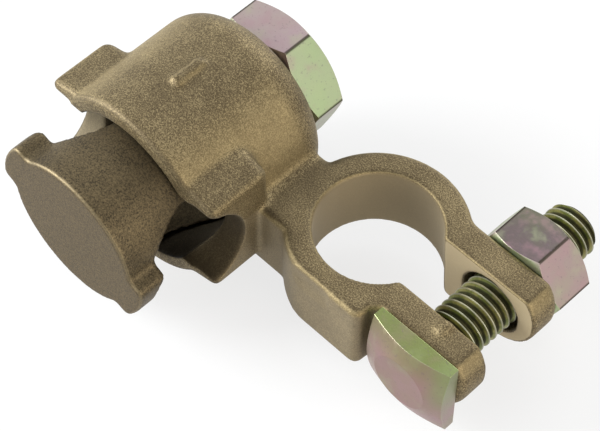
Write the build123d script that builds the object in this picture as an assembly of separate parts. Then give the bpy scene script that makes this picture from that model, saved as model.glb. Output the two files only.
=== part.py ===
from build123d import *
import math
import os

# Battery terminal clamp: a cast brass body with a split post ring at one end and a cup-shaped
# cable housing at the other. A square-headed bolt closes the ring on the battery post. A
# threaded plug with a cross eye is drawn into the housing by a thin nut and grips the cable.
#
# Frame, in millimetres: the origin is on the axis of the post bore, at the underside of the
# ring. +Z points up along the post, -X towards the cable housing, +X towards the jaws. The
# clamp bolt and the cable plug both lie along Y, with their nuts at the +Y end.

# Post ring and jaws
ring_height = 12.0
ring_radius = 12.3
post_bore_radius = 8.5          # at the top face, the narrow end of the taper
post_taper = 1 / 9              # change of diameter for each unit of height
jaw_gap = 8.6                   # slit between the two jaws
jaw_thickness = 4.7
jaw_shift = 0.4                 # the pair of jaws stands off the ring's middle, towards +Y
jaw_end_radius = 7.4            # rounded jaw ends, seen from the side
jaw_end_x = 15.6
bolt_axis_x = 15.5
bolt_axis_z = 6.0
shoulder_x = 7.8                # wall beside the bolt head that stops it turning
shoulder_y = -11.9

# Neck between ring and housing
neck_front_y = -9.0
neck_back_y = 3.0

# Cable housing
housing_axis_x = -28.1
housing_axis_z = 10.1
housing_wall = 2.6
housing_length = 23.4
rim_y = -17.3
end_wall = 4.8
channel_radius = 7.2            # rounded notch across the rim that the cable lies in
channel_offset = 1.5            # how far its axis stands outside the rim
spout_reach = 1.2               # how far the lips of the notch stand out of the housing
spout_height = 12.3             # top and bottom of the lips above the axis, if carried to it
spout_slope = 15.0              # degrees that the lips fall towards their tips
spout_setback = 0.3             # from the rim to the front of the lips
spout_length = 10.3

# Cable plug
plug_radius = 11.1
plug_clearance = 0.4            # between the plug and the housing bore
plug_opening = 6.2              # how far the plug's ears stand off the rim
plug_turn = 22.5                # degrees that the ears are turned down from the notch
ear_radius = 13.25
ear_width = 9.2
ear_thickness = 4.4
eye_radius = 8.5                # cross hole for the cable
eye_web = 3.2                   # metal between the end face and the eye
plug_base = 2.4                 # metal between the eye and the stud

# Raised casting marks
bar_width = 1.4
bar_length = 5.2
bar_height = 0.45
bar_y = -6.4
lump_width = 1.3
lump_length = 2.2
lump_height = 0.3
lump_x = 16.4
lump_y = -5.2
mark_corner = 0.55
mark_edge = 0.2

# Threads, drawn as plain cylinders of their major diameter
stud_radius = 5.95
bolt_radius = 3.95
thread_clearance = 0.05         # running clearance of each nut on its thread
stud_hole_clearance = 0.6
bolt_hole_clearance = 0.65

# Cable nut, M12 thin
cable_nut_width = 18.0
cable_nut_height = 6.0
cable_nut_turn = 8.0            # degrees from +X to its first corner
cable_nut_gap = 0.3             # the loosened nut stands just off the end wall
stud_recess = 0.4               # the stud stops this far inside the nut

# Clamp bolt, M8 with a square head, and its nut
bolt_length = 30.5
bolt_head_width = 13.0
bolt_head_height = 3.6
bolt_head_face_radius = 4.2
bolt_head_slope = 23.0          # degrees that the crowned face falls away
clamp_nut_width = 13.0
clamp_nut_height = 6.8
clamp_nut_turn = 5.5
nut_chamfer_angle = 30.0

# Edges
cast_edge = 0.9
cast_corner = 1.2
cast_fillet = 1.2
housing_end_round = 5.0
spout_ridge = 0.8
spout_inner_edge = 1.6
jaw_root_fillet = 3.0
flat_blend = 6.0                # where the ring's arc runs into its flat
machined_edge = 0.2
sharp_edge = 0.3

# Worked-out places
jaw_width = jaw_gap + 2 * jaw_thickness
head_seat_y = jaw_shift - jaw_width / 2
nut_seat_y = jaw_shift + jaw_width / 2
bore_radius = plug_radius + plug_clearance
housing_radius = bore_radius + housing_wall
housing_end_y = rim_y + housing_length
spout_tip = housing_radius + spout_reach
spout_tip_height = spout_height - spout_tip * math.tan(math.radians(spout_slope))
plug_face_y = rim_y - plug_opening - ear_thickness
eye_axis_y = plug_face_y + eye_web + eye_radius
plug_back_y = eye_axis_y + eye_radius + plug_base
cable_nut_y = housing_end_y + cable_nut_gap
stud_end_y = cable_nut_y + cable_nut_height - stud_recess
bolt_tip_y = head_seat_y + bolt_length


def along_y(x, y, z):
    """A plane at a point whose normal is +Y, with local x along +X and local y along -Z."""
    return Plane(origin=(x, y, z), x_dir=(1, 0, 0), z_dir=(0, 1, 0))


def rod(x, z, radius, start_y, end_y):
    """A cylinder along +Y."""
    return extrude(along_y(x, start_y, z) * Circle(radius), end_y - start_y)


def turned(x, z, outline):
    """A solid turned about the Y line at x and z from (radius, y) points."""
    profile = make_face(Polyline(*outline, close=True))
    return Pos(x, 0, z) * revolve(profile, Axis.Y)


def hex_nut(x, z, start_y, width, height, turn, bore):
    """A hexagon nut along Y, its corners chamfered at both ends."""
    corner = width / math.sqrt(3)
    drop = (corner - width / 2) * math.tan(math.radians(nut_chamfer_angle))
    blank = extrude(along_y(x, start_y, z) * Rot(0, 0, -turn) * RegularPolygon(corner, 6), height)
    end_y = start_y + height
    limit = turned(
        x,
        z,
        [
            (0, start_y),
            (width / 2, start_y),
            (corner, start_y + drop),
            (corner, end_y - drop),
            (width / 2, end_y),
            (0, end_y),
        ],
    )
    nut = (blank & limit) - rod(x, z, bore, start_y, end_y)
    mouth = nut.edges().filter_by(GeomType.CIRCLE).filter_by(lambda e: abs(e.radius - bore) < 1e-3)
    return chamfer(mouth, sharp_edge)


def ring_and_jaws():
    """The split ring, its two jaws and the neck, as one plate cut to its side profile."""
    disc = Circle(ring_radius)
    jaw_reach = jaw_end_x + jaw_end_radius
    jaws = Pos(jaw_reach / 2, jaw_shift) * Rectangle(jaw_reach, jaw_width)
    shoulder = Pos(shoulder_x / 2, shoulder_y / 2) * Rectangle(shoulder_x, -shoulder_y)
    neck_length = -housing_axis_x
    neck = Pos(-neck_length / 2, (neck_front_y + neck_back_y) / 2) * Rectangle(
        neck_length, neck_back_y - neck_front_y
    )
    beyond = Pos(0, shoulder_y - ring_radius) * Rectangle(4 * ring_radius, 2 * ring_radius)
    plan = (disc + jaws + shoulder + neck - beyond).clean()
    roots = plan.vertices().filter_by(
        lambda v: ring_radius / 2 < v.X < ring_radius and abs(v.Y - nut_seat_y) < 0.01
    )
    plan = fillet(roots, jaw_root_fillet)
    flat = plan.vertices().filter_by(lambda v: abs(v.Y - shoulder_y) < 0.01)
    plan = fillet(flat.sort_by(Axis.X)[-1], cast_corner)
    flat = plan.vertices().filter_by(lambda v: abs(v.Y - shoulder_y) < 0.01)
    plan = fillet(flat.sort_by(Axis.X)[0], flat_blend)
    plate = extrude(plan, ring_height)

    side = Plane.XZ * (
        Pos((jaw_end_x + 2 * housing_axis_x) / 2, ring_height / 2)
        * Rectangle(jaw_end_x - 2 * housing_axis_x, ring_height)
        + Pos(jaw_end_x, jaw_end_radius) * Circle(jaw_end_radius)
    )
    plate &= extrude(side, 2 * ring_radius, both=True)
    outline = plate.edges().filter_by(
        lambda e: e.center().X > housing_axis_x + 0.01
        and (
            min(abs(e.center().Z), abs(e.center().Z - ring_height)) < 0.01
            or e.center().X > jaw_end_x
        )
    )
    return fillet(outline, cast_edge)


def housing():
    """The outer form of the cable cup: a cylinder with a rounded closed end."""
    cup = rod(housing_axis_x, housing_axis_z, housing_radius, rim_y, housing_end_y)
    ends = cup.edges().filter_by(GeomType.CIRCLE).sort_by(Axis.Y)
    cup = fillet(ends[-1], housing_end_round)
    rim = cup.edges().filter_by(GeomType.CIRCLE).sort_by(Axis.Y)[0]
    return fillet(rim, cast_edge)


def spouts():
    """The lips on each side of the housing that carry the notch outwards."""
    outline = Polyline(
        (0, spout_height),
        (spout_tip, spout_tip_height),
        (spout_tip, -spout_tip_height),
        (0, -spout_height),
        (-spout_tip, -spout_tip_height),
        (-spout_tip, spout_tip_height),
        close=True,
    )
    front_y = rim_y + spout_setback
    lips = extrude(along_y(housing_axis_x, front_y, housing_axis_z) * make_face(outline), spout_length)
    inner_end = front_y + spout_length
    inner = lips.edges().filter_by(lambda e: abs(e.center().Y - inner_end) < 0.01)
    lips = fillet(inner, spout_inner_edge)
    ridges = lips.edges().filter_by(
        lambda e: abs(e.center().X - housing_axis_x) > 1 and e.center().Y < front_y + spout_length / 2
    )
    return fillet(ridges, spout_ridge)


def casting_marks():
    """The raised marks the mould leaves: a bar on top of the housing and a lump on one jaw."""
    bar_z = housing_axis_z + housing_radius
    bar = Pos(housing_axis_x, bar_y, bar_z) * Box(bar_width, bar_length, 2 * bar_height)
    lump = Pos(lump_x, lump_y, ring_height) * Box(lump_width, lump_length, 2 * lump_height)
    marks = [fillet(mark.edges().filter_by(Axis.Z), mark_corner) for mark in (bar, lump)]
    return [chamfer(mark.faces().sort_by(Axis.Z)[-1].edges(), mark_edge) for mark in marks]


def clamp_body():
    """The casting, with the machined post bore, jaw faces and holes cut into it."""
    x = housing_axis_x
    z = housing_axis_z
    plate = ring_and_jaws()
    cup = housing()
    body = plate + cup
    body = fillet(new_edges(plate, cup, combined=body), cast_fillet)
    body += spouts()
    for mark in casting_marks():
        body += mark
    body -= rod(x, z, bore_radius, rim_y, housing_end_y - end_wall)
    body -= rod(x, z, stud_radius + stud_hole_clearance, rim_y, housing_end_y)
    notch = Plane(origin=(x, rim_y - channel_offset, z), z_dir=(1, 0, 0)) * Circle(channel_radius)
    body -= extrude(notch, 2 * spout_tip, both=True)
    widening = ring_height * post_taper / 2
    body -= Pos(0, 0, ring_height / 2) * Cone(
        post_bore_radius + widening, post_bore_radius, ring_height
    )
    mouths = body.edges().filter_by(GeomType.CIRCLE).filter_by(lambda e: abs(e.arc_center.X) < 0.01)
    body = chamfer(mouths, machined_edge)
    body -= Pos(jaw_end_x, jaw_shift, ring_height / 2) * Box(
        2 * jaw_end_x, jaw_gap, 2 * ring_height
    )
    hole = bolt_radius + bolt_hole_clearance
    body -= rod(bolt_axis_x, bolt_axis_z, hole, head_seat_y, nut_seat_y)
    return body


def cable_plug():
    """The cross-drilled plug: end face with two ears, eye, base and stud."""
    x = housing_axis_x
    z = housing_axis_z
    disc = along_y(x, plug_face_y, z)
    ears = Circle(ear_radius) & Rectangle(3 * ear_radius, ear_width)
    flange = Circle(plug_radius) + ears
    tips = flange.vertices().filter_by(lambda v: math.hypot(v.X, v.Y) > plug_radius + 0.5)
    flange = fillet(tips, cast_corner)
    roots = flange.vertices().filter_by(lambda v: abs(math.hypot(v.X, v.Y) - plug_radius) < 0.01)
    flange = fillet(roots, cast_corner)
    plug = extrude(disc * flange, ear_thickness)
    plug += rod(x, z, plug_radius, plug_face_y, plug_back_y)
    eye = Plane(origin=(x, eye_axis_y, z), z_dir=(1, 0, 0)) * Circle(eye_radius)
    plug -= extrude(eye, 2 * ear_radius, both=True)
    plug += rod(x, z, stud_radius, plug_back_y, stud_end_y)
    stud_tip = plug.edges().filter_by(GeomType.CIRCLE).sort_by(Axis.Y)[-1]
    plug = chamfer(stud_tip, sharp_edge)
    return plug.rotate(Axis((x, 0, z), (0, 1, 0)), plug_turn)


def clamp_bolt():
    """The square-headed bolt, its head against the -Y jaw."""
    x = bolt_axis_x
    z = bolt_axis_z
    seat_y = head_seat_y
    face_y = seat_y - bolt_head_height
    corner = bolt_head_width / math.sqrt(2)
    fall = (corner - bolt_head_face_radius) * math.tan(math.radians(bolt_head_slope))
    block = Pos(x, seat_y - bolt_head_height / 2, z) * Box(
        bolt_head_width, bolt_head_height, bolt_head_width
    )
    crown = turned(
        x,
        z,
        [
            (0, face_y),
            (bolt_head_face_radius, face_y),
            (corner, face_y + fall),
            (corner, seat_y),
            (0, seat_y),
        ],
    )
    shank = rod(x, z, bolt_radius, seat_y, bolt_tip_y)
    tip = shank.edges().filter_by(GeomType.CIRCLE).sort_by(Axis.Y)[-1]
    return (block & crown) + chamfer(tip, 3 * sharp_edge)


pieces = {
    "clamp_body": clamp_body(),
    "cable_plug": cable_plug(),
    "cable_nut": hex_nut(
        housing_axis_x,
        housing_axis_z,
        cable_nut_y,
        cable_nut_width,
        cable_nut_height,
        cable_nut_turn,
        stud_radius + thread_clearance,
    ),
    "clamp_bolt": clamp_bolt(),
    "clamp_nut": hex_nut(
        bolt_axis_x,
        bolt_axis_z,
        nut_seat_y,
        clamp_nut_width,
        clamp_nut_height,
        clamp_nut_turn,
        bolt_radius + thread_clearance,
    ),
}

os.makedirs("parts", exist_ok=True)
for name, piece in pieces.items():
    export_step(piece, f"parts/{name}.step")
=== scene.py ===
import math
import bpy
from mathutils import Matrix, Vector


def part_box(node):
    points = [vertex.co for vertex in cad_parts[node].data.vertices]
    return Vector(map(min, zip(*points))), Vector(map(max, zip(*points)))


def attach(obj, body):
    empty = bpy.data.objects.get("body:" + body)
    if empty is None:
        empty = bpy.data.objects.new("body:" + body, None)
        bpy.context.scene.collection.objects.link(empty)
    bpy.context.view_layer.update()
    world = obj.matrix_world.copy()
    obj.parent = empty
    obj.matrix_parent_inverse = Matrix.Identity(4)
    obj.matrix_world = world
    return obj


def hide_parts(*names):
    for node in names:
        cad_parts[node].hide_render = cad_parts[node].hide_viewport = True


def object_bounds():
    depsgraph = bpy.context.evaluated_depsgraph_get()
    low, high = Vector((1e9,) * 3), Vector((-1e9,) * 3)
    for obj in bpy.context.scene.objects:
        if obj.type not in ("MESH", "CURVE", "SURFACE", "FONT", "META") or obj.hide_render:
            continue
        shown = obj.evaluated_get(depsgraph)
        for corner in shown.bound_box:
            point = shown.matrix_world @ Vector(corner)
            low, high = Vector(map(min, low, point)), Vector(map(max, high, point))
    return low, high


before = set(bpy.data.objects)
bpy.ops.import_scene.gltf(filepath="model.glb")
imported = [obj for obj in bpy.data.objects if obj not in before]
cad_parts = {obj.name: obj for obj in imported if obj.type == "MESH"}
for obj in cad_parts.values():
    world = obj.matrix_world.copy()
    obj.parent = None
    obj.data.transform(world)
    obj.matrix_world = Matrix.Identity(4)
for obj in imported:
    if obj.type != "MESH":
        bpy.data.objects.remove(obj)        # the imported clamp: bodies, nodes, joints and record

mm = 0.001
mergeDistance = 0.001 * mm
flatAngle = math.radians(0.2)  # faces that meet at less than this count as one flat
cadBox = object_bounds()
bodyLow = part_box("clamp_body")[0]
plugLow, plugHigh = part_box("cable_plug")
boltLow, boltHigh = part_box("clamp_bolt")
cableNutLow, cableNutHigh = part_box("cable_nut")
clampNutLow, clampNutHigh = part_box("clamp_nut")
print("frame loaded:", sorted(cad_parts))


def middleOf(low, high):
    # where the axis of a piece that lies along Y stands, in x and z
    return (low.x + high.x) / 2, (low.z + high.z) / 2


def inMillimetres(places):
    return tuple(place / mm for place in places)


def deselectAll():
    if bpy.context.mode != "OBJECT":
        bpy.ops.object.mode_set(mode="OBJECT")
    bpy.ops.object.select_all(action="DESELECT")


def makeActive(piece):
    deselectAll()
    piece.select_set(True)
    bpy.context.view_layer.objects.active = piece


def selectWhole(piece):
    # into edit mode with everything selected
    makeActive(piece)
    bpy.ops.object.mode_set(mode="EDIT")
    bpy.ops.mesh.select_mode(type="VERT")
    bpy.ops.mesh.select_all(action="SELECT")


def selectFaces(piece, wanted):
    # into edit mode with only the wanted faces selected
    selectWhole(piece)
    bpy.ops.mesh.select_mode(type="FACE")
    bpy.ops.mesh.select_all(action="DESELECT")
    bpy.ops.object.mode_set(mode="OBJECT")
    for face in piece.data.polygons:
        face.select = wanted(face)
    bpy.ops.object.mode_set(mode="EDIT")


def applyModifiers(piece):
    makeActive(piece)
    for modifier in list(piece.modifiers):
        bpy.ops.object.modifier_apply(modifier=modifier.name)


def boolean(piece, other, operation):
    # cut or intersect piece with other, which is used up
    modifier = piece.modifiers.new(operation.lower(), "BOOLEAN")
    modifier.operation = operation
    modifier.solver = "MANIFOLD"
    modifier.object = other
    applyModifiers(piece)
    bpy.data.objects.remove(other)


def copyOfNode(node, name):
    # a copy of a CAD node's mesh with its loose triangles merged
    piece = bpy.data.objects.new(name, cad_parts[node].data.copy())
    bpy.context.scene.collection.objects.link(piece)
    piece.data.materials.clear()
    makeActive(piece)
    if piece.data.has_custom_normals:
        bpy.ops.mesh.customdata_custom_splitnormals_clear()
    selectWhole(piece)
    bpy.ops.mesh.remove_doubles(threshold=mergeDistance)
    bpy.ops.mesh.dissolve_limited(angle_limit=flatAngle)
    deselectAll()
    return piece


def cutAway(piece, place, normal):
    # drop what lies beyond a plane, on its normal's side, and close the cut
    selectWhole(piece)
    bpy.ops.mesh.bisect(plane_co=place, plane_no=normal, use_fill=True, clear_outer=True)
    deselectAll()


def softenEdges(piece, width, steps, leastAngle):
    # round every edge that turns by more than an angle
    bevel = piece.modifiers.new("softEdges", "BEVEL")
    bevel.width = width
    bevel.segments = steps
    bevel.limit_method = "ANGLE"
    bevel.angle_limit = math.radians(leastAngle)
    applyModifiers(piece)


def threadedRod(values):
    # a right-hand thread along +Y: one pitch of the profile is drawn point by point, wound
    # into a screw and intersected with a blank that has the length and the tip chamfer
    pitch = values["pitch"]
    major = values["majorRadius"]
    depth = values["depthShare"] * pitch
    crestFlat = pitch / 8
    rootFlat = pitch / 4
    flank = (pitch - crestFlat - rootFlat) / 2
    length = values["endY"] - values["startY"]
    x, z = values["axis"]

    deselectAll()
    bpy.ops.mesh.primitive_plane_add(size=pitch, location=(0, 0, 0))
    rod = bpy.context.object
    rod.name = values["name"]
    selectWhole(rod)
    bpy.ops.mesh.merge(type="CENTER")
    bpy.ops.transform.translate(value=(major - depth, 0, 0))
    for step in ((0, rootFlat, 0), (depth, flank, 0), (0, crestFlat, 0), (-depth, flank, 0)):
        bpy.ops.mesh.extrude_region_move(TRANSFORM_OT_translate={"value": step})
    deselectAll()
    screw = rod.modifiers.new("winding", "SCREW")
    screw.axis = "Y"
    screw.angle = 2 * math.pi
    screw.screw_offset = pitch
    screw.iterations = math.ceil(length / pitch) + 4
    screw.steps = values["turnSteps"]
    screw.render_steps = values["turnSteps"]
    applyModifiers(rod)
    selectWhole(rod)
    bpy.ops.mesh.remove_doubles(threshold=pitch / 1000)
    bpy.ops.transform.translate(value=(x, values["startY"] - 2 * pitch, z))
    bpy.ops.mesh.select_all(action="SELECT")
    bpy.ops.mesh.fill_holes(sides=0)
    bpy.ops.mesh.select_all(action="SELECT")
    bpy.ops.mesh.normals_make_consistent(inside=False)

    deselectAll()
    bpy.ops.mesh.primitive_cylinder_add(
        vertices=values["turnSteps"],
        radius=major + values["blankRoom"],
        depth=length,
        location=(x, (values["startY"] + values["endY"]) / 2, z),
        rotation=(-math.pi / 2, 0, 0),
    )
    blank = bpy.context.object
    bpy.ops.object.transform_apply(location=True, rotation=True, scale=True)
    selectFaces(blank, lambda face: face.normal.y > 0.9)
    bpy.ops.mesh.bevel(offset=values["tipChamfer"], segments=1, affect="EDGES")
    deselectAll()
    boolean(rod, blank, "INTERSECT")
    return rod


def redraw(piece, values):
    # a fine even net with its edges rounded, as a casting has
    net = piece.modifiers.new("net", "REMESH")
    net.mode = "VOXEL"
    net.voxel_size = values["cell"]
    soft = piece.modifiers.new("soft", "SMOOTH")
    soft.factor = 0.5
    soft.iterations = values["smoothing"]
    applyModifiers(piece)


def finish(piece, material, body, slot, smoothAngle):
    # give a new piece its material and shading, and tie it to its CAD body; the slot it is given is not used
    piece.data.materials.clear()
    piece.data.materials.append(material)
    for face in piece.data.polygons:
        face.material_index = 0
    makeActive(piece)
    bpy.ops.object.shade_smooth_by_angle(angle=math.radians(smoothAngle))
    even = piece.modifiers.new("even", "WEIGHTED_NORMAL")
    even.keep_sharp = True
    applyModifiers(piece)
    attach(piece, body)
    print(piece.name, "made with", len(piece.data.polygons), "faces")


class Signal:
    # one output of a node, so that shader maths reads as plain expressions
    def __init__(self, surface, socket):
        self.surface = surface
        self.socket = socket

    def maths(self, operation, *values):
        return self.surface.node("ShaderNodeMath", {"operation": operation}, dict(enumerate(values)))

    def __add__(self, other):
        return self.maths("ADD", self, other)

    __radd__ = __add__

    def __sub__(self, other):
        return self.maths("SUBTRACT", self, other)

    def __rsub__(self, other):
        return self.maths("SUBTRACT", other, self)

    def __mul__(self, other):
        return self.maths("MULTIPLY", self, other)

    __rmul__ = __mul__

    def __pow__(self, other):
        return self.maths("POWER", self, other)

    def __abs__(self):
        return self.maths("ABSOLUTE", self)


class Surface:
    # one material, built round a Principled shader, with places in millimetres
    def __init__(self, name):
        self.material = bpy.data.materials.new(name)
        self.material.use_nodes = True
        self.tree = self.material.node_tree
        self.shader = self.tree.nodes["Principled BSDF"]
        place = self.node("ShaderNodeTexCoord", {}, {}, "Object")
        self.place = self.node("ShaderNodeVectorMath", {"operation": "SCALE"}, {0: place, "Scale": 1 / mm})
        self.x, self.y, self.z = self.split(self.place)
        self.nx, self.ny, self.nz = self.split(self.node("ShaderNodeTexCoord", {}, {}, "Normal"))

    def node(self, kind, settings, inputs, output=0):
        made = self.tree.nodes.new(kind)
        for key, value in settings.items():
            setattr(made, key, value)
        for key, value in inputs.items():
            if isinstance(value, Signal):
                self.tree.links.new(value.socket, made.inputs[key])
            else:
                made.inputs[key].default_value = value
        return Signal(self, made.outputs[output])

    def split(self, vector):
        made = self.tree.nodes.new("ShaderNodeSeparateXYZ")
        self.tree.links.new(vector.socket, made.inputs[0])
        return [Signal(self, socket) for socket in made.outputs]

    def noise(self, size, detail=3.0, roughness=0.55, shift=0.0):
        # smooth noise with features about size millimetres across, centred on 0.5
        place = self.node("ShaderNodeMapping", {}, {0: self.place, "Location": (shift, shift, shift)})
        values = {"Vector": place, "Scale": 1 / size, "Detail": detail, "Roughness": roughness}
        return self.node("ShaderNodeTexNoise", {}, values)

    def between(self, value, low, high):
        # 0 below low and 1 above high, or turned round where high is the lower, smooth between
        settings = {"interpolation_type": "SMOOTHSTEP"}
        if low < high:
            return self.node("ShaderNodeMapRange", settings, {0: value, 1: low, 2: high, 3: 0.0, 4: 1.0})
        return self.node("ShaderNodeMapRange", settings, {0: value, 1: high, 2: low, 3: 1.0, 4: 0.0})

    def blend(self, share, first, second):
        return self.node("ShaderNodeMix", {"data_type": "RGBA"}, {0: share, 6: first, 7: second}, 2)

    def offAxis(self, first, second, centre):
        # distance from an axis, from two of x, y and z
        return ((first - centre[0]) ** 2 + (second - centre[1]) ** 2) ** 0.5

    def bump(self, height, depth, strength):
        values = {"Strength": strength, "Distance": depth * mm, "Height": height}
        return self.node("ShaderNodeBump", {}, values)

    def set(self, **values):
        for key, value in values.items():
            socket = self.shader.inputs[key.replace("_", " ")]
            if isinstance(value, Signal):
                self.tree.links.new(value.socket, socket)
            else:
                socket.default_value = value


def tone(red, green, blue):
    # a colour as a paint program gives it, from 0 to 255, as the shader wants it
    def linear(value):
        share = value / 255
        return share / 12.92 if share <= 0.04045 else ((share + 0.055) / 1.055) ** 2.4
    return (linear(red), linear(green), linear(blue), 1.0)


print("tools ready")

castBrassLook = {
    "light": tone(156, 140, 104),
    "dark": tone(76, 64, 43),
    "machined": tone(140, 127, 102),
    "bore": tone(146, 132, 104),
    "jawFace": tone(188, 172, 140),
    "notch": tone(78, 70, 54),
    # painted light on the cup's flanks, and painted highlight with wear on rounded edges
    "edge": tone(150, 134, 96),
    # painted shade, for the cup's crown and rim, the ring's tops, the top of the neck and the notch's +X side
    "shaded": tone(62, 52, 35),
    # painted shade for the inside of the cup, near black
    "cupShade": tone(22, 18, 12),
    "grain": 0.20,             # size of the blasted grain
    "grainDepth": 0.06,
    "grainRange": (0.47, 0.70),
    "blotch": 5.0,
    "pit": 0.9,
    "pitRange": (0.62, 0.70),
    "metal": 0.75,
    "roughness": 0.50,
}

castPlaces = {
    # in millimetres, the two ends of the stretch over which each place on the casting begins
    "plateX": (-13.4, -12.4),
    "plateTop": 12.0,
    "plateZ": (12.05, 11.95),
    "plateEdgeZ": (9.0, 10.5),
    "boreTopRadius": 8.5,
    "boreTaper": 1 / 18,       # growth of the bore's radius for each millimetre down
    "boreEdge": (0.16, 0.06),
    "jawMiddle": 0.4,
    "slitX": (6.4, 6.8),
    "slitHalfWidth": (4.38, 4.33),
    "jawSideX": (22.0, 12.0),
    "housingAxis": (-28.1, 10.1),
    "housingX": (-12.5, -14.0),
    "housingY": (2.5, 0.5),
    "flankZ": (10.0, 14.0),
    "rimY": (bodyLow.y / mm + 1.1, bodyLow.y / mm + 0.9),
    "cupRadius": (11.75, 11.65),
    "cupY": (2.0, 1.5),
    "notchAxis": (bodyLow.y / mm - 1.5, 10.1),
    "notchRadius": (7.5, 7.35),
    "notchX": (-12.2, -12.6),
    "lightNotchX": (-30.0, -34.0),
    "darkNotchX": (-26.0, -22.0),
    "crannyX": (-8.5, -11.5),
}

castTurns = {
    # the same for how far a face points along an axis
    "upright": (0.55, 0.25),
    "upward": (0.6, 0.9),
    "crown": (0.84, 0.97),
    "flank": (0.35, 0.75),
    "edgeLeast": (0.22, 0.4),
    "edgeMost": (0.97, 0.85),
    "rimLeast": (-0.25, -0.4),
    "rimMost": (-0.97, -0.9),
}


def makeCastBrass(name, look, places, turns):
    surface = Surface(name)
    grain = surface.noise(look["grain"], 2.0, 0.6)
    fine = surface.noise(look["grain"] / 2.4, 2.0, 0.6, 7.0)
    blotch = surface.noise(look["blotch"], 3.0, 0.6, 3.0)
    pits = surface.between(surface.noise(look["pit"], 2.0, 0.5, 11.0), *look["pitRange"])

    # the low plate that holds the ring, and the places cut into it
    plate = surface.between(surface.x, *places["plateX"]) * surface.between(surface.z, *places["plateZ"])
    down = places["plateTop"] - surface.z
    boreWall = surface.offAxis(surface.x, surface.y, (0, 0)) - down * places["boreTaper"]
    boreEnds = [places["boreTopRadius"] + end for end in places["boreEdge"]]
    inBore = surface.between(boreWall, *boreEnds)
    jawDistance = abs(surface.y - places["jawMiddle"])
    inSlit = surface.between(surface.x, *places["slitX"])
    inSlit = inSlit * surface.between(jawDistance, *places["slitHalfWidth"])

    # the cup, whose inside is painted dark as shade, and the notch across its rim, a smooth tone on its -X
    # side and painted shade on its +X side
    alongAxis = surface.offAxis(surface.x, surface.z, places["housingAxis"])
    # inside the cup, painted dark as shade
    inCup = surface.between(alongAxis, *places["cupRadius"]) * surface.between(surface.y, *places["cupY"])
    alongNotch = surface.offAxis(surface.y, surface.z, places["notchAxis"])
    inNotch = surface.between(alongNotch, *places["notchRadius"]) * (1 - inCup)
    inNotch = inNotch * surface.between(surface.x, *places["notchX"])
    lightNotch = inNotch * surface.between(surface.x, *places["lightNotchX"])
    # painted shade on the notch's +X side
    darkNotch = inNotch * surface.between(surface.x, *places["darkNotchX"])

    # walls, tops and rounded edges, told apart by the way they face
    steepness = abs(surface.nz)
    side = surface.between(steepness, *turns["upright"]) * plate * (1 - inBore) * (1 - inSlit)
    jawSide = side * surface.between(surface.x, *places["jawSideX"])
    # painted shade: the tops of the plate and ring darker
    ringTop = plate * surface.between(surface.nz, *turns["upward"]) * (1 - inBore)
    # painted shade on the top of the neck, a hollow by the ring
    cranny = surface.between(surface.x, *places["crannyX"]) * ringTop
    rounded = surface.between(steepness, *turns["edgeLeast"]) * surface.between(steepness, *turns["edgeMost"])
    # rounded edges of the plate lighter: painted highlight, partly wear
    plateEdge = rounded * plate * (1 - inBore) * surface.between(surface.z, *places["plateEdgeZ"])
    # painted shade on the cup's rounded rim, dimming its highlight
    rimEdge = surface.between(surface.ny, *turns["rimLeast"]) * surface.between(surface.ny, *turns["rimMost"])
    rimEdge = rimEdge * surface.between(surface.y, *places["rimY"])
    onCup = surface.between(surface.x, *places["housingX"]) * surface.between(surface.y, *places["housingY"])
    # painted shade: the crown of the cup darker than its sides
    crown = onCup * surface.between(surface.nz, *turns["crown"])
    # painted light: the cup's flanks lighter, in the edge tone
    flanks = onCup * surface.between(abs(surface.nx), *turns["flank"])
    flanks = flanks * surface.between(surface.z, *places["flankZ"])

    shade = surface.between(grain * 0.5 + fine * 0.45 + blotch * 0.15, *look["grainRange"])
    colour = surface.blend(shade, look["dark"], look["light"])
    for mask, share, hue in (
        (crown, 0.22, "shaded"),
        (flanks, 0.35, "edge"),
        (jawSide, 0.6, "machined"),
        (ringTop, 0.38, "shaded"),
        (plateEdge, 0.35, "edge"),
        (rimEdge, 0.5, "shaded"),
        (cranny, 0.6, "shaded"),
        (inBore, 0.9, "bore"),
        (inSlit, 0.9, "jawFace"),
        (lightNotch, 0.85, "notch"),
        (darkNotch, 0.8, "shaded"),
        (inCup, 0.85, "cupShade"),
        (pits * (1 - inSlit) * (1 - inBore), 0.25, "dark"),
    ):
        colour = surface.blend(mask * share, colour, look[hue])
    smooth = inBore + inSlit + lightNotch
    height = (grain * 0.7 + fine * 0.4) * (1 - smooth * 0.8) * (1 - side * 0.35)
    surface.set(
        Base_Color=colour,
        Metallic=look["metal"],
        Roughness=look["roughness"] + fine * 0.15 + smooth * 0.05,
        Normal=surface.bump(height, look["grainDepth"], 0.8),
    )
    return surface.material


plugBrassLook = {
    # the plug's brass tones, set darker than the casting's: painted shade
    "light": tone(102, 89, 64),
    "dark": tone(44, 37, 24),
    "face": tone(104, 89, 62),
    "faceDark": tone(54, 45, 29),
    "edge": tone(146, 131, 100),
    "grain": 0.24,
    "grainDepth": 0.06,
    "grainRange": (0.40, 0.68),
    "faceRange": (0.38, 0.62),
    "blotch": 4.0,
    "faceDepth": (0.12, 0.06),  # behind the end face, in millimetres, where each place begins
    "edgeDepth": (1.0, 0.7),
    "rimDepth": (4.5, 11.0),
    "edgeLeast": (-0.2, -0.35),
    "edgeMost": (-0.98, -0.9),
    "metal": 0.75,
    "roughness": 0.45,
}


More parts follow.
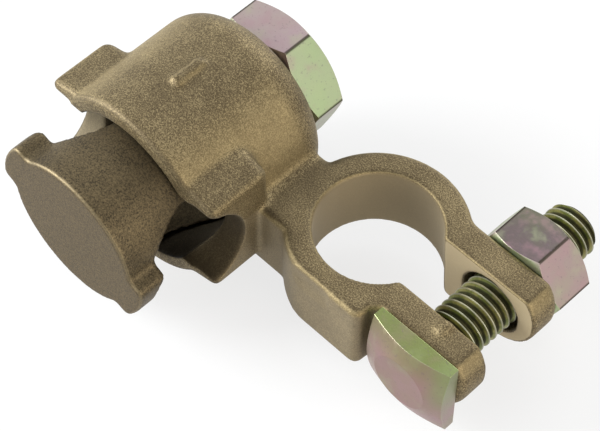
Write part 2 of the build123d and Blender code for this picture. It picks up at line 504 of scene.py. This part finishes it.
def makePlugBrass(name, look, faceY):
    surface = Surface(name)
    grain = surface.noise(look["grain"], 2.0, 0.6)
    fine = surface.noise(look["grain"] / 2.4, 2.0, 0.6, 5.0)
    blotch = surface.noise(look["blotch"], 3.0, 0.6, 9.0)
    behind = surface.y - faceY
    onFace = surface.between(behind, *look["faceDepth"])
    # painted highlight: a light line round the edge of the end face
    edge = surface.between(surface.ny, *look["edgeLeast"]) * surface.between(surface.ny, *look["edgeMost"])
    edge = edge * surface.between(behind, *look["edgeDepth"])
    # painted shade along the plug near the cup's rim
    nearRim = surface.between(behind, *look["rimDepth"]) * (1 - onFace)
    shade = surface.between(grain * 0.5 + fine * 0.4 + blotch * 0.2, *look["grainRange"])
    cast = surface.blend(shade, look["dark"], look["light"])
    faceShade = surface.between(fine * 0.6 + grain * 0.4, *look["faceRange"])
    face = surface.blend(faceShade, look["faceDark"], look["face"])
    colour = surface.blend(onFace, cast, face)
    colour = surface.blend(edge * 0.3, colour, look["edge"])
    colour = surface.blend(nearRim * 0.4, colour, look["dark"])
    height = (grain * 0.7 + fine * 0.4) * (1 - onFace * 0.3)
    surface.set(
        Base_Color=colour,
        Metallic=look["metal"],
        Roughness=look["roughness"] + fine * 0.15 + onFace * 0.04,
        Normal=surface.bump(height, look["grainDepth"], 0.8),
    )
    return surface.material


platingLook = {
    "green": tone(160, 170, 132),
    "pink": tone(170, 156, 150),
    "grey": tone(170, 168, 156),
    "rose": tone(160, 124, 134),
    "purple": tone(104, 88, 100),
    "paleGreen": tone(176, 196, 150),
    "olive": tone(112, 118, 66),
    "yellow": tone(150, 146, 92),
    "moss": tone(128, 142, 96),
    "cornerShade": tone(44, 40, 28),
    "rootShade": (0.018, 0.016, 0.010, 1.0),
    "cloud": 7.0,              # size of the faint clouds
    "speck": 0.45,
    "scratch": 0.20,
    "scratchDepth": 0.03,
    "flatFacing": (0.86, 0.97),
    "endFacing": (-0.75, -0.93),
    "sideFacing": (0.3, 0.1),
    "cornerWidth": (0.18, 0.06),
    "metal": 0.9,
    "roughness": 0.30,
}


def makePlating(name, look, tints, shift, green=None, corners=None):
    # passivated zinc: faint clouds, small purple specks and a tint on each flat by the way it faces, partly
    # the plating's colour and partly painted light and shade
    surface = Surface(name)
    cloud = surface.noise(look["cloud"], 2.0, 0.5, shift)
    patch = surface.noise(look["cloud"] / 2, 3.0, 0.6, shift + 13.0)
    fine = surface.noise(look["scratch"], 2.0, 0.6, shift)
    speck = surface.between(surface.noise(look["speck"], 3.0, 0.6, shift + 5.0), 0.60, 0.70)
    colour = surface.blend(surface.between(cloud, 0.38, 0.62), look["green"], look["pink"])
    for degrees, hue in tints.items():
        # degrees from +X towards +Z round the piece's axis, or "face" for its -Y end
        if degrees == "face":
            facing = surface.between(surface.ny, *look["endFacing"])
        else:
            turn = math.radians(degrees)
            facing = surface.nx * math.cos(turn) + surface.nz * math.sin(turn)
            facing = surface.between(facing, *look["flatFacing"])
        colour = surface.blend(facing * 0.8, colour, hue)
    colour = surface.blend(surface.between(patch, 0.46, 0.70) * 0.35, colour, look["rose"])
    colour = surface.blend(surface.between(patch, 0.48, 0.26) * 0.30, colour, look["green"])
    if green:
        # olive towards the top and mossy towards the +X end, in the ranges given
        high = surface.between(surface.z, *green["z"])
        far = surface.between(surface.x, *green["x"]) * surface.between(surface.z, *green["farZ"])
        colour = surface.blend(high * 0.5, colour, look["olive"])
        colour = surface.blend(far * 0.55, colour, look["moss"])
    if corners:
        # painted shade in a fine line along the corners of a hexagon
        away = surface.offAxis(surface.x, surface.z, corners["axis"])
        ends = [corners["radius"] - width for width in look["cornerWidth"]]
        corner = surface.between(away, *ends) * surface.between(abs(surface.ny), *look["sideFacing"])
        colour = surface.blend(corner * 0.85, colour, look["cornerShade"])
    colour = surface.blend(speck * 0.4, colour, look["purple"])
    surface.set(
        Base_Color=colour,
        Metallic=look["metal"],
        Roughness=look["roughness"] + fine * 0.16,
        Normal=surface.bump(fine, look["scratchDepth"], 0.35),
    )
    return surface.material


threadPlaces = {
    # depth below the thread's outside, in millimetres, where its crest and root begin
    "crest": (0.15, 0.05),
    "root": (0.28, 0.52),
}


def makeThreadPlating(name, look, places, axis, majorRadius):
    # the same plating in a thread: olive patches, pale crests and roots painted dark as shade
    surface = Surface(name)
    depth = majorRadius - surface.offAxis(surface.x, surface.z, axis)
    crest = surface.between(depth, *places["crest"])
    root = surface.between(depth, *places["root"])
    patch = surface.noise(2.2, 3.0, 0.6, 4.0)
    fine = surface.noise(look["scratch"], 2.0, 0.6)
    colour = surface.blend(surface.between(patch, 0.42, 0.58), look["olive"], look["yellow"])
    colour = surface.blend(crest * 0.6, colour, look["grey"])
    colour = surface.blend(root * 0.85, colour, look["rootShade"])
    surface.set(
        Base_Color=colour,
        Metallic=look["metal"],
        Roughness=look["roughness"] + fine * 0.2 + root * 0.25,
        Normal=surface.bump(fine, look["scratchDepth"], 0.35),
    )
    return surface.material


boltValues = {
    "name": "boltThread",
    "axis": middleOf(boltLow, boltHigh),
    "majorRadius": 3.95 * mm,
    "pitch": 1.25 * mm,
    "depthShare": 0.6134,      # of the pitch, as on any metric thread
    "turnSteps": 64,
    "headLength": 3.9 * mm,    # the head and a little of its shank, for the thread to grow from
    "startY": boltLow.y + 3.2 * mm,
    "endY": boltHigh.y,
    "tipChamfer": 0.9 * mm,
    "blankRoom": 0.01 * mm,
    "headEdge": 0.35 * mm,
    "headEdgeSteps": 3,
    "headLeastAngle": 15,      # degrees an edge turns by, from which it is rounded
    "smoothAngle": 30,
    "threadSmoothAngle": 35,
    "headTints": {90: tone(104, 118, 64), "face": tone(142, 110, 104), 0: tone(146, 126, 120)},
    "headGreen": {"z": (8.5, 12.0), "x": (18.6, 21.6), "farZ": (3.0, 8.0)},
}


def makeBolt(values):
    head = copyOfNode("clamp_bolt", "threadedBolt")
    cutAway(head, (0, boltLow.y + values["headLength"], 0), (0, 1, 0))
    softenEdges(head, values["headEdge"], values["headEdgeSteps"], values["headLeastAngle"])
    return head, threadedRod(values)


boltHead, boltThread = makeBolt(boltValues)
boltAxis = inMillimetres(boltValues["axis"])
boltRadius = boltValues["majorRadius"] / mm
headPlating = makePlating("boltPlating", platingLook, boltValues["headTints"], 0.0, boltValues["headGreen"])
threadPlating = makeThreadPlating("boltThreadPlating", platingLook, threadPlaces, boltAxis, boltRadius)
finish(boltHead, headPlating, "bolt", "clamp_bolt", boltValues["smoothAngle"])
finish(boltThread, threadPlating, "bolt", "clamp_bolt", boltValues["threadSmoothAngle"])
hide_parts("clamp_bolt")

plugValues = {
    "name": "studThread",
    "axis": middleOf(cableNutLow, cableNutHigh),
    "majorRadius": 5.95 * mm,
    "pitch": 1.75 * mm,
    "depthShare": 0.6134,
    "turnSteps": 64,
    "plainLength": 0.5 * mm,   # of the stud, left on the plug for the thread to grow from
    "startY": plugHigh.y - 12.6 * mm,
    "endY": plugHigh.y,
    "tipChamfer": 0.9 * mm,
    "blankRoom": 0.01 * mm,
    "cell": 0.25 * mm,         # of the net that the plug is redrawn with
    "smoothing": 12,
    "smoothAngle": 60,
    "threadSmoothAngle": 35,
}


def makePlug(values):
    plug = copyOfNode("cable_plug", "cablePlug")
    cutAway(plug, (0, values["startY"] + values["plainLength"], 0), (0, 1, 0))
    redraw(plug, values)
    return plug, threadedRod(values)


plug, studThread = makePlug(plugValues)
plugBrass = makePlugBrass("plugBrass", plugBrassLook, plugLow.y / mm)
finish(plug, plugBrass, "plug", "plug_brass", plugValues["smoothAngle"])
finish(studThread, plugBrass, "plug", "plug_brass", plugValues["threadSmoothAngle"])
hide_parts("cable_plug")

nutValues = {
    # tints of the flats, by the degrees from +X towards +Z that each one faces; partly the plating's colour,
    # partly painted light and shade
    "cable_nut": {
        "piece": "cableNut",
        "body": "plug_nut",
        "tints": {98: tone(162, 142, 146), 38: tone(148, 166, 126), -22: tone(166, 168, 146)},
        "shift": 3.0,
        "axis": middleOf(cableNutLow, cableNutHigh),
        "acrossFlats": 18.0,
    },
    "clamp_nut": {
        "piece": "clampNut",
        "body": "bolt_nut",
        "tints": {95.5: tone(58, 48, 52), 35.5: tone(148, 130, 128), "face": platingLook["paleGreen"]},
        "shift": 8.0,
        "axis": middleOf(clampNutLow, clampNutHigh),
        "acrossFlats": 13.0,
    },
}

nutEdge = {"width": 0.5 * mm, "steps": 3, "leastAngle": 40, "smoothAngle": 30}


def makeNut(node, values, edge):
    nut = copyOfNode(node, values["piece"])
    softenEdges(nut, edge["width"], edge["steps"], edge["leastAngle"])
    name = values["piece"] + "Plating"
    corners = {"axis": inMillimetres(values["axis"]), "radius": values["acrossFlats"] / math.sqrt(3)}
    plating = makePlating(name, platingLook, values["tints"], values["shift"], None, corners)
    finish(nut, plating, values["body"], node, edge["smoothAngle"])
    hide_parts(node)


for node, values in nutValues.items():
    makeNut(node, values, nutEdge)

bodyValues = {
    "cell": 0.32 * mm,         # of the net that the casting is redrawn with
    "smoothing": 10,           # passes that round its edges as a sand mould does
    "markBlur": 0.55 * mm,     # width of the slope round each raised mark
    "markWaves": ((0.18, 2.7, 0.0), (0.12, 6.1, 1.0)),
    "smoothAngle": 60,
}

castMarks = [
    # middle, least height of the faces it takes, half sizes and rise of each mark the mould
    # leaves, in millimetres
    {"x": -28.1, "y": -6.2, "z": 22.0, "halfX": 0.4, "halfY": 2.4, "rise": 0.20},
    {"x": -28.9, "y": -8.2, "z": 22.0, "halfX": 0.5, "halfY": 0.35, "rise": 0.12},
    {"x": 16.4, "y": -5.2, "z": 11.0, "halfX": 0.6, "halfY": 0.9, "rise": 0.22},
    {"x": 16.9, "y": -4.4, "z": 11.0, "halfX": 0.4, "halfY": 0.4, "rise": 0.12},
]


def makeBody(values):
    body = copyOfNode("clamp_body", "castBody")
    redraw(body, values)
    for mark in castMarks:
        raiseMark(body, mark, values)
    return body


def raiseMark(body, mark, values):
    # lift the faces of one mark, an uneven bar, and draw the ones round it up softly; each
    # wave of its sides has a height, a rate and a start
    def wanted(face):
        across = face.center.x / mm - mark["x"]
        along = face.center.y / mm - mark["y"]
        wave = sum(high * math.sin(rate * along + start) for high, rate, start in values["markWaves"])
        inside = abs(across - wave) < mark["halfX"] and abs(along) < mark["halfY"]
        return inside and face.center.z / mm > mark["z"] and face.normal.z > 0.5

    selectFaces(body, wanted)
    bpy.ops.transform.translate(
        value=(0, 0, mark["rise"] * mm),
        use_proportional_edit=True,
        proportional_edit_falloff="SMOOTH",
        proportional_size=values["markBlur"],
    )
    deselectAll()


castBrass = makeCastBrass("castBrass", castBrassLook, castPlaces, castTurns)
castBody = makeBody(bodyValues)
finish(castBody, castBrass, "body", "cast_brass", bodyValues["smoothAngle"])
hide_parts("clamp_body")

cameraValues = {
    "azimuth": 45.02,
    "elevation": 55.37,
    "roll": 0.15,
    "distance": 297.77 * mm,
    "across": -10.05 * mm,
    "upward": 8.25 * mm,
    "lens": 134.57,
    "sensor": 36.0,
}


def makeCamera(values):
    azimuth = math.radians(values["azimuth"])
    elevation = math.radians(values["elevation"])
    roll = math.radians(values["roll"])
    level = math.cos(elevation)
    back = Vector((math.sin(azimuth) * level, -math.cos(azimuth) * level, math.sin(elevation)))
    right = Vector((math.cos(azimuth), math.sin(azimuth), 0))
    up = back.cross(right)
    across = right * math.cos(roll) + up * math.sin(roll)
    upward = up * math.cos(roll) - right * math.sin(roll)
    place = back * values["distance"] + across * values["across"] + upward * values["upward"]
    deselectAll()
    bpy.ops.object.camera_add()
    camera = bpy.context.object
    camera.name = "camera"
    camera.data.lens = values["lens"]
    camera.data.sensor_width = values["sensor"]
    camera.data.clip_start = 0.01
    camera.data.clip_end = 10
    camera.matrix_world = Matrix.Translation(place) @ Matrix((across, upward, back)).transposed().to_4x4()
    bpy.context.scene.camera = camera


stageValues = {
    "floorSize": 1.2,
    "floorGrey": (0.8, 0.8, 0.8, 1.0),
    "floorGlow": 0.75,         # share of plain white that the eye and mirrors see in the floor
    "worldGrey": (0.8, 0.82, 0.85, 1.0),
    "worldStrength": 0.4,
}

lamps = [
    # name, place, size, power and colour of each soft lamp, all aimed at the clamp
    ("leftLamp", (-0.44, -0.36, 0.22), 0.35, 9.0, (0.94, 0.97, 1.0)),
    ("rightLamp", (0.50, -0.05, 0.16), 0.30, 2.2, (1.0, 0.92, 0.80)),
    ("backLamp", (-0.15, 0.50, 0.30), 0.35, 2.5, (0.95, 0.98, 1.0)),
]


def seenDirectly(tree):
    # 1 for rays from the camera, mirrors and clear pieces, 0 for light on the object
    path = tree.nodes.new("ShaderNodeLightPath")
    seen = path.outputs["Is Camera Ray"]
    for ray in ("Is Glossy Ray", "Is Transmission Ray"):
        most = tree.nodes.new("ShaderNodeMath")
        most.operation = "MAXIMUM"
        tree.links.new(seen, most.inputs[0])
        tree.links.new(path.outputs[ray], most.inputs[1])
        seen = most.outputs[0]
    return seen


def makeFloor(values):
    deselectAll()
    bpy.ops.mesh.primitive_plane_add(size=values["floorSize"], location=(0, 0, cadBox[0].z))
    floor = bpy.context.object
    floor.name = "floor"
    bpy.ops.object.transform_apply(location=True, rotation=True, scale=True)
    material = bpy.data.materials.new("paleFloor")
    material.use_nodes = True
    tree = material.node_tree
    shader = tree.nodes["Principled BSDF"]
    shader.inputs["Base Color"].default_value = values["floorGrey"]
    shader.inputs["Roughness"].default_value = 0.9
    shader.inputs["Specular IOR Level"].default_value = 0.1
    glow = tree.nodes.new("ShaderNodeEmission")
    mix = tree.nodes.new("ShaderNodeMixShader")
    share = tree.nodes.new("ShaderNodeMath")
    share.operation = "MULTIPLY"
    share.inputs[1].default_value = values["floorGlow"]
    tree.links.new(seenDirectly(tree), share.inputs[0])
    tree.links.new(share.outputs[0], mix.inputs[0])
    tree.links.new(shader.outputs[0], mix.inputs[1])
    tree.links.new(glow.outputs[0], mix.inputs[2])
    tree.links.new(mix.outputs[0], tree.nodes["Material Output"].inputs["Surface"])
    floor.data.materials.append(material)


def makeBackdrop(values):
    world = bpy.data.worlds.new("studio")
    bpy.context.scene.world = world
    world.use_nodes = True
    tree = world.node_tree
    light = tree.nodes["Background"]
    light.inputs["Color"].default_value = values["worldGrey"]
    light.inputs["Strength"].default_value = values["worldStrength"]
    backdrop = tree.nodes.new("ShaderNodeBackground")
    backdrop.inputs["Color"].default_value = (1, 1, 1, 1)
    backdrop.inputs["Strength"].default_value = 1.0
    mix = tree.nodes.new("ShaderNodeMixShader")
    tree.links.new(seenDirectly(tree), mix.inputs[0])
    tree.links.new(light.outputs[0], mix.inputs[1])
    tree.links.new(backdrop.outputs[0], mix.inputs[2])
    tree.links.new(mix.outputs[0], tree.nodes["World Output"].inputs["Surface"])


def makeLamps(target):
    for name, place, size, power, colour in lamps:
        deselectAll()
        bpy.ops.object.light_add(type="AREA", location=place)
        lamp = bpy.context.object
        lamp.name = name
        lamp.data.size = size
        lamp.data.energy = power
        lamp.data.color = colour
        lamp.rotation_euler = (Vector(place) - target).to_track_quat("Z", "Y").to_euler()


makeCamera(cameraValues)
makeFloor(stageValues)
makeBackdrop(stageValues)
makeLamps((cadBox[0] + cadBox[1]) / 2)
bpy.context.scene.view_settings.view_transform = "Standard"
print("camera, floor and lamps placed")
